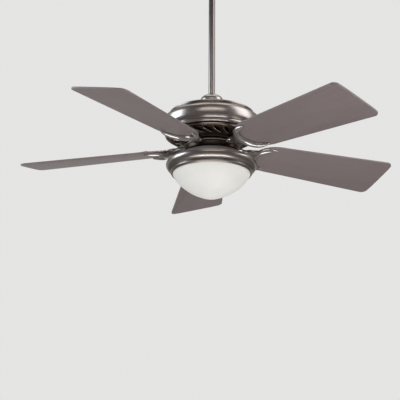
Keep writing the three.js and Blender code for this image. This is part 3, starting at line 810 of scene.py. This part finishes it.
TILT = Matrix.Rotation(rad(DROOP), 4, "Y") @ Matrix.Rotation(rad(-PITCH), 4, "X")
bm = bmesh.new()
slab_bm(bm, blade_outline(), [(1.1, 0), (0.35, 0.12), (0.08, 0.45), (0, 1.0), (0, 4.0), (0.08, 4.55), (0.35, 4.88), (1.1, 5.0)])
blade_me = finish_mesh(bm, "blade", 50)
for k in range(1, 6):
    o = link(blade_me.copy(), f"blade_panel_{k}", spin_matrix(k) @ TILT)
    o.data.name = f"blade_panel_{k}"
    piece(o, "spinner", BLADE, "blade_silver", f"blade_{k}")

# --------------------------------------------------------------------- arms


def superring(c, side, upv, hw, hh, n=2.4, m=28):
    """One section: a superellipse of half width hw and half height hh."""
    out = []
    for j in range(m):
        a = 2 * math.pi * j / m
        ca, sa = math.cos(a), math.sin(a)
        x = math.copysign(abs(ca) ** (2 / n), ca) * hw
        y = math.copysign(abs(sa) ** (2 / n), sa) * hh
        out.append(Vector(c) + Vector(side) * x + Vector(upv) * y)
    return out


def arm_casting():
    """Neck and crescent, fused and softened like a casting."""
    bm = bmesh.new()
    # crescent: swept along the rounded blade root, under the blade
    path = []
    M = 44
    for i in range(M + 1):
        s = -1 + 2 * i / M
        t = s * 1.03 * math.pi / 2
        c_, q_ = max(0.0, math.cos(t)), abs(math.sin(t))
        n = 2.25
        over = max(0.0, abs(s) * 1.03 - 1) * 60
        u = 187 - 54.5 * c_ ** (2 / n) + over
        v = math.copysign(51.5 * min(1, q_) ** (2 / n), s)
        path.append((u, v))
    for i, (u, v) in enumerate(path):
        s = abs(-1 + 2 * i / M)
        a_, b_ = path[max(0, i - 1)], path[min(M, i + 1)]
        d = Vector((b_[0] - a_[0], b_[1] - a_[1], 0)).normalized()
        side = Vector((d.y, -d.x, 0))
        taper = 1 - 0.82 * max(0.0, (s - 0.55) / 0.45) ** 1.7
        hw = (11.4 - 2.8 * s ** 2) * taper
        depth = (12.6 - 1.8 * s) * (0.25 + 0.75 * taper)
        ring = []
        m = 26
        for j in range(m):
            a = 2 * math.pi * j / m
            x, y = math.cos(a), math.sin(a)
            w = -0.3 + min(0.0, y) * depth if y < 0 else -0.3 - 0.0 * y
            ring.append(TILT @ Vector((u + side.x * x * hw, v + side.y * x * hw, w)))
        path[i] = ring if i else ring
        if i == 0:
            rings = []
        rings.append(ring)
        path[i] = (u, v)
    tube_bm(bm, rings)
    casting = finish_mesh(bm, "c1")
    # neck: from the foot up and out to the root of the crescent
    bm = bmesh.new()
    secs = [
        # u, z centre, half width, half height, twist share
        (60, -0.6, 14.0, 3.2, 0.0), (68, 0.4, 16.5, 4.6, 0.0), (76, 2.6, 15.0, 7.2, 0.05), (84, 5.4, 12.6, 9.0, 0.15), (92, 6.4, 11.6, 9.4, 0.35),
        (100, 5.2, 12.6, 9.2, 0.6), (108, 3.0, 16.0, 8.6, 0.85), (116, 0.6, 22.0, 7.8, 1.0), (124, -2.2, 29.0, 6.2, 1.0), (132, -4.6, 33.0, 4.4, 1.0), (139, -5.4, 30.0, 3.2, 1.0)]
    rings = []
    for (u, z, hw, hh, tw) in secs:
        T = Matrix.Rotation(rad(DROOP * tw), 4, "Y") @ Matrix.Rotation(rad(-PITCH * tw), 4, "X")
        rings.append([T @ Vector((u, p.y, p.z)) for p in superring((u, 0, z), (0, 1, 0), (0, 0, 1), hw, hh, 2.3)])
    tube_bm(bm, rings)
    neck = finish_mesh(bm, "c2")
    # palm: rises in front of the blade root to the pad above it
    bm = bmesh.new()
    secs = [(100, 7.0, 11.0, 6.0), (108, 8.6, 14.0, 5.6), (116, 9.2, 18.0, 4.6), (124, 8.4, 21.5, 3.2), (131, 7.5, 23.0, 2.05), (140, 7.4, 24.0, 1.95)]
    rings = []
    for (u, z, hw, hh) in secs:
        rings.append([TILT @ Vector((u, p.y, p.z)) for p in superring((u, 0, z), (0, 1, 0), (0, 0, 1), hw, hh, 2.6)])
    tube_bm(bm, rings)
    palm = finish_mesh(bm, "c3")
    bm = bmesh.new()
    for me in (casting, neck, palm):
        bm.from_mesh(me)
    me = bpy.data.meshes.new("arm_raw")
    bm.to_mesh(me)
    bm.free()
    o = link(me, "arm_raw")
    m = o.modifiers.new("r", "REMESH")
    m.mode, m.voxel_size, m.adaptivity = "VOXEL", 0.0011, 0.0
    s = o.modifiers.new("s", "SMOOTH")
    s.factor, s.iterations = 0.5, 5
    d = o.modifiers.new("d", "DECIMATE")
    d.ratio = 0.30
    dg = bpy.context.evaluated_depsgraph_get()
    out = bpy.data.meshes.new_from_object(o.evaluated_get(dg))
    bpy.data.objects.remove(o)
    for p in out.polygons:
        p.use_smooth = True
    return out


arm_me = arm_casting()

# pad: a shield on top of the blade root, with a raised rim
half = [(118, 17.5), (128, 22.5), (140, 25.6), (156, 27.4), (170, 30.4), (180, 34.6), (189, 37.4), (197, 36.8), (202.6, 31.8), (203.6, 25.4), (200.6, 18.6), (196, 11)]
shield = [(u, -v) for u, v in half] + [(193.0, 0)] + [(u, v) for u, v in half[::-1]]
shield = spline([(*p,) for p in shield + shield[:1]], 4)[:-1]
bm = bmesh.new()
slab_bm(bm, shield, [(0.5, 5.3), (0, 5.8), (0, 8.3), (0.35, 9.0), (1.2, 9.4), (2.6, 9.3), (3.4, 8.7), (4.6, 8.5)])
bm.transform(TILT)
pad_me = finish_mesh(bm, "arm_pad", 45)

# foot: a fifth of a ring with an upright flange and a rolled lip
foot_prof = rounded([(54, 0.2, 0.8), (54, 4.2, 0.8), (75.6, 4.2, 0.6), (76.8, 5.2, 0.7), (79.2, 5.4, 1.0), (80.2, 4.0, 1.0), (79.0, 2.2, 0.8), (78.4, 0.4, 0.6), (78.4, -7.6, 0.5),
                     (79.0, -8.2, 0.3), (79.0, -9.8, 0.7), (77.8, -10.4, 0.6), (75.6, -10.4, 0.7), (75.6, 0.0, 0.8)], closed=True)
bm = bmesh.new()
lathe_bm(bm, foot_prof, 28, arc=(rad(-35.72), rad(35.72)))
foot_me = finish_mesh(bm, "arm_foot", 38)

bm = bmesh.new()
lathe_bm(bm, [(78.6 + 1.5 * math.cos(rad(30 * q)), 4.4 + 1.5 * math.sin(rad(30 * q))) for q in range(12)] + [(80.1, 4.4)], 28, arc=(rad(-35.72), rad(35.72)))
lip_me = finish_mesh(bm, "foot_lip", 60)
SCREWS = ((150, 0), (188, -26), (188, 26))
for k in range(1, 6):
    S = spin_matrix(k)
    o = link(arm_me.copy(), f"arm_casting_{k}", S)
    piece(o, "spinner", ARM_LIT, "nickel", f"blade_arm_{k}")
    piece(link(pad_me.copy(), f"arm_pad_{k}", S), "spinner", ARM_LIT, "nickel")
    # the feet wear the dark bronze with painted shade
    piece(link(foot_me.copy(), f"arm_foot_{k}", S), "spinner", FOOT_SHADED, "nickel_dark")
    # the lip wears the lighter painted-light copy of the nickel
    piece(link(lip_me.copy(), f"arm_foot_lip_{k}", S), "spinner", SATIN_LIT, "nickel")
    for j, (u, v) in enumerate(SCREWS):
        M = S @ TILT @ Matrix.Translation((u * MM, v * MM, 9.0 * MM)) @ Matrix.Rotation(0.7 * (j + k), 4, "Z")
        piece(screw(f"blade_screw_head_{k}_{j + 1}", 5.2, 3.2, 2.0, 7.2, M), "spinner", SCREW, "nickel", f"blade_screw_{k}_{j + 1}")
    for j, sgn in enumerate((1, -1)):
        M = S @ Matrix.Rotation(rad(25 * sgn), 4, "Z") @ Matrix.Translation((64 * MM, 0, 0)) @ Matrix.Rotation(math.pi, 4, "X") @ Matrix.Rotation(0.5 * j + 0.3 * k, 4, "Z")
        o = screw(f"arm_bolt_head_{k}_{j + 1}", 5.0, 3.6, 2.0, 3.8, M)
        piece(o, "spinner", SCREW, "nickel", *([f"arm_bolt_{k}"] if j == 0 else []))

# ---------------------------------------------------------------- light pan
pan_outer = [
    *rounded([(43.4, -26, 0), (43.4, -13.4, 1.2), (56, -13.4, 4)]),
    *spline([(66, -13.5), (74, -14.2), (82, -16.6), (92, -21.0), (101, -25.8), (112, -32.0), (121, -37.6), (126.4, -41.6), (129.2, -44.6), (130.1, -47.4), (129.8, -50.8), (128.6, -54.6),
             (126.4, -58.4), (123.4, -61.8), (119.2, -64.4)], 5),
    *rounded([(117.2, -65.2, 0), (115.2, -65.8, 0.6), (114.3, -67.0, 0.7), (115.6, -68.1, 0.5), (117.3, -68.9, 1.0), (117.6, -70.6, 1.4), (113.8, -75.9, 1.6), (111.2, -75.6, 0.5)]),
]
pan_inner = rounded([(111.2, -73.6, 0), (113.0, -73.4, 0.6), (113.0, -66.0, 1), (121.2, -58.4, 3), (126.6, -51.4, 3), (127.6, -47, 2), (122.4, -40.4, 3),
                     (100.2, -27.4, 6), (81.4, -18.5, 5), (70, -15.5, 4), (45.4, -15.4, 1), (45.4, -26, 0)])
o = lathe("light_pan_shell", pan_outer + pan_inner, 144, inner_from=len(pan_outer) - 1)
# the pan's upper outer faces switch to the lighter painted-light copy of the nickel
for p in o.data.polygons:
    c_ = p.center
    if p.material_index == 0 and c_.z > -(DROP + 43.6) * MM and math.hypot(c_.x, c_.y) > 0.07:
        p.material_index = 2
piece(o, "hanging", (NICKEL, WHITE_IN, SATIN_LIT), "nickel", "light_pan")

# --------------------------------------------------------------- glass bowl
GO = spline([(110.6, -66.2), (110.6, -70), (110.2, -75.4), (106.4, -83.6), (100.8, -92.1), (93.9, -100.4), (85.4, -108.3), (76.0, -115.8), (66.8, -122.6), (56.6, -128.9),
             (45.2, -134.4), (34.8, -139.0), (25.3, -142.6), (16.7, -145.4), (9.0, -147.3), (4, -147.9), (0, -148)], 4)
GI = spline([(0, -145), (9, -144.3), (25.0, -139.8), (44.4, -131.6), (65.2, -119.8), (83.2, -105.9), (98.0, -90.4), (104.4, -79.8), (107.4, -72), (107.6, -66.4)], 4)
o = lathe("glass_bowl_opal", [*GO[0:0], (109.1, -65.6), *GO, *GI], 144)
piece(o, "glass", OPAL, "opal_glass", "glass_bowl")

# ------------------------------------------------- nodes that keep their shape
keep = {
    "ceiling_bracket": ZINC, "hanger_pin": ZINC, "motor_coupling": ZINC, "coupling_pin": ZINC, "coupling_set_screw": ZINC,
    "motor_shaft": ZINC, "stator": LAMS, "upper_bearing": ZINC, "lower_bearing": ZINC, "rotor": STEELDARK, "flywheel": BLACKP,
    "light_kit_plate": ZINC, "shaft_nut": BRASSM, "lamp_holder_strap": ZINC, "lamp_holder_1": PORCELAIN, "lamp_holder_2": PORCELAIN,
    "bulb_1": FROST, "bulb_2": FROST, "pan_screw_1": SCREW, "pan_screw_2": SCREW,
}
for name, mat in keep.items():
    o = HOLD[name]
    dress(o, mat)
    if name in ("ceiling_bracket", "light_kit_plate", "lamp_holder_strap", "shaft_nut", "flywheel", "motor_coupling", "rotor"):
        m = o.modifiers.new("edge", "BEVEL")
        m.width, m.segments, m.limit_method, m.angle_limit = 0.0004, 2, "ANGLE", rad(50)
